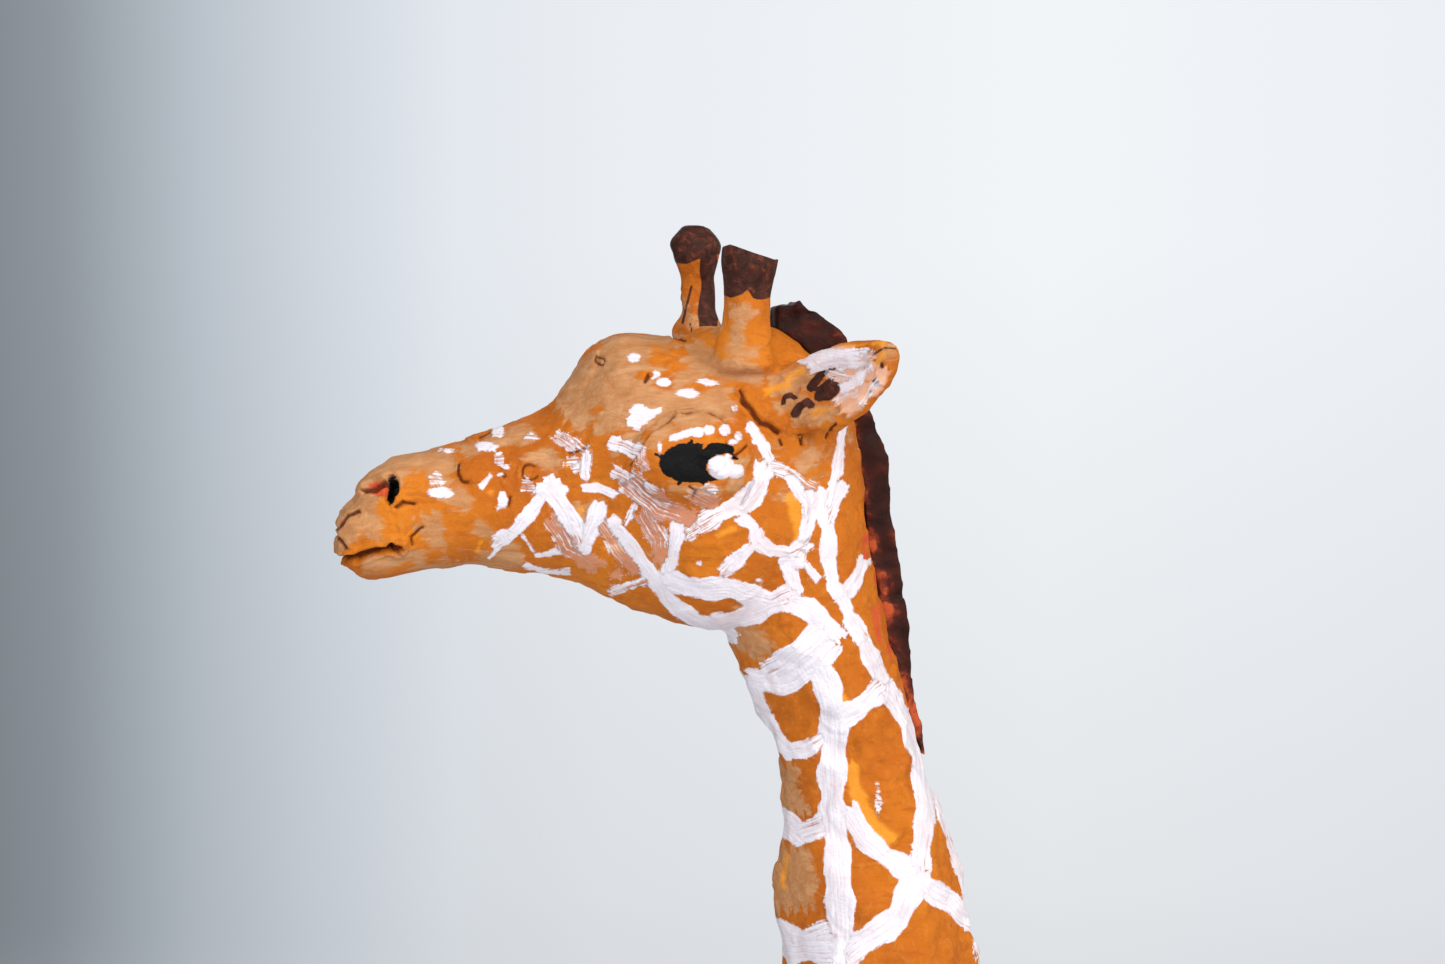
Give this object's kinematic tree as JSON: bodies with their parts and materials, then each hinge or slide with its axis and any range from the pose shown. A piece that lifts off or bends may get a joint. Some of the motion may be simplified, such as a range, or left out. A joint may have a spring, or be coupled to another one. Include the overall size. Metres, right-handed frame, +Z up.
{
  "type": "giraffe statue",
  "caption": "Standing giraffe statue modelled in painted clay over a wire armature, with net-patterned coat, horns, cupped ears and mane, fixed by its legs to a wooden plinth.",
  "frame": {"origin": "centre of the felt underside, the face that the statue stands on", "axes": "+Z up; the giraffe faces -X; its left flank is on -Y"},
  "size_m": [0.2684, 0.116, 0.4996],
  "materials": {
    "clay_ochre": "dry clay under thin orange-ochre acrylic paint",
    "clay_umber": "clay under dark umber acrylic paint",
    "armature_wire": "drawn soft wire",
    "foil": "crumpled foil",
    "plinth_wood": "oiled hardwood",
    "felt": "pressed felt"
  },
  "bodies": {
    "root": {"felt_underlay": "felt", "plinth": "plinth_wood", "spine_wire": "armature_wire", "front_leg_wire": "armature_wire", "hind_leg_wire": "armature_wire", "tail_wire": "armature_wire", "binding_wires": "armature_wire", "torso_foil_core": "foil", "head_foil_core": "foil", "torso": "clay_ochre", "neck": "clay_ochre", "head": "clay_ochre", "lower_jaw": "clay_ochre", "left_eye": "clay_ochre", "right_eye": "clay_ochre", "left_ear": "clay_ochre", "right_ear": "clay_ochre", "left_horn": "clay_ochre", "right_horn": "clay_ochre", "mane": "clay_umber", "front_left_leg": "clay_ochre", "front_right_leg": "clay_ochre", "hind_left_leg": "clay_ochre", "hind_right_leg": "clay_ochre", "front_left_hoof": "clay_umber", "front_right_hoof": "clay_umber", "hind_left_hoof": "clay_umber", "hind_right_hoof": "clay_umber", "tail": "clay_ochre", "tail_tuft": "clay_umber"}
  },
  "joints": []
}
